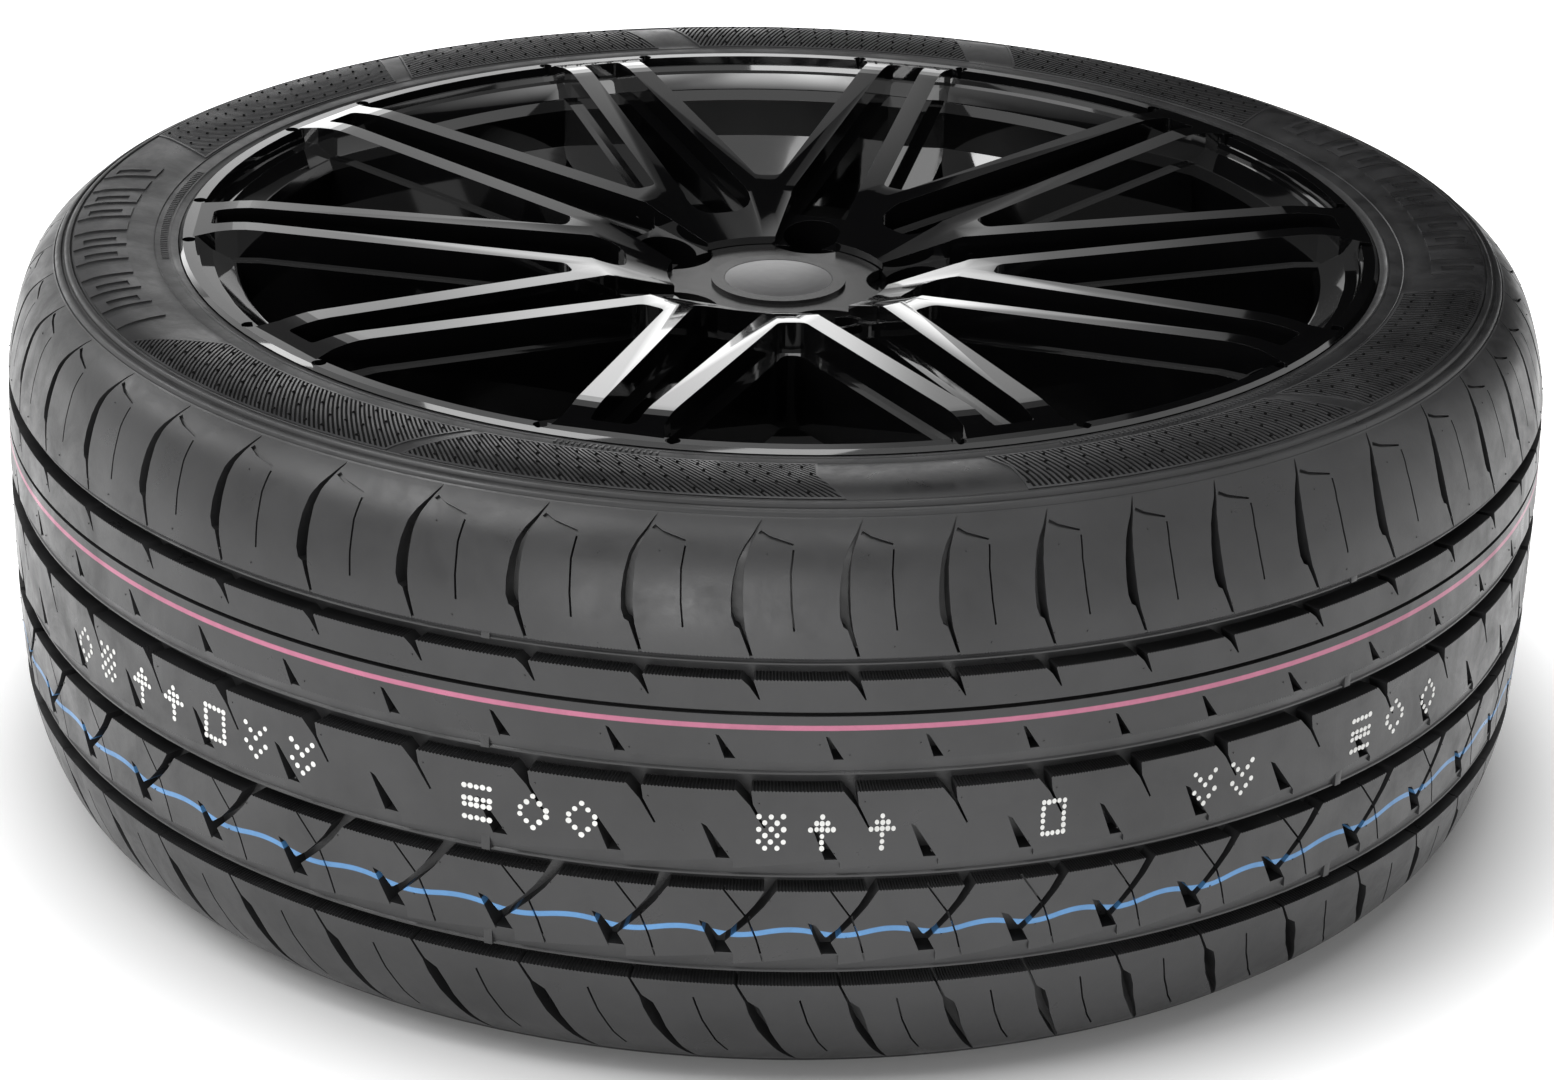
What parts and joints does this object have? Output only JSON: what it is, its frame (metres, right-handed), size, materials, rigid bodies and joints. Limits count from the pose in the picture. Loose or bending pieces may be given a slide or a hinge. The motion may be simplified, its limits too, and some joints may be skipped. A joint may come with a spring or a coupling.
{
  "type": "car tyre on alloy wheel",
  "caption": "Low-profile car tyre with asymmetric tread, mounted on a gloss-black multi-spoke alloy wheel with bolt pockets and centre cap, lying flat.",
  "frame": {"origin": "ground point under the wheel's centre, on the face of the lower sidewall", "axes": "+Z along the wheel's axis towards the styled face; -Y towards the viewer of the picture"},
  "size_m": [0.637, 0.637, 0.227],
  "materials": {
    "tyre": "satin grey-black rubber, ribbed in the groove walls",
    "wheel": "deep gloss black paint under clear coat",
    "cap": "gloss",
    "inlay": "satin grey",
    "spring_wire": "drawn wire",
    "valve_rubber": "matt",
    "valve_brass": "turned",
    "valve_plastic": "matt"
  },
  "bodies": {
    "root": {"tyre": "tyre", "wheel": "wheel", "cap_body": "cap", "cap_inlay": "inlay", "cap_ring": "spring_wire", "valve_stem": "valve_rubber", "valve_tube": "valve_brass", "valve_core": "valve_brass", "valve_cap": "valve_plastic"}
  },
  "joints": []
}
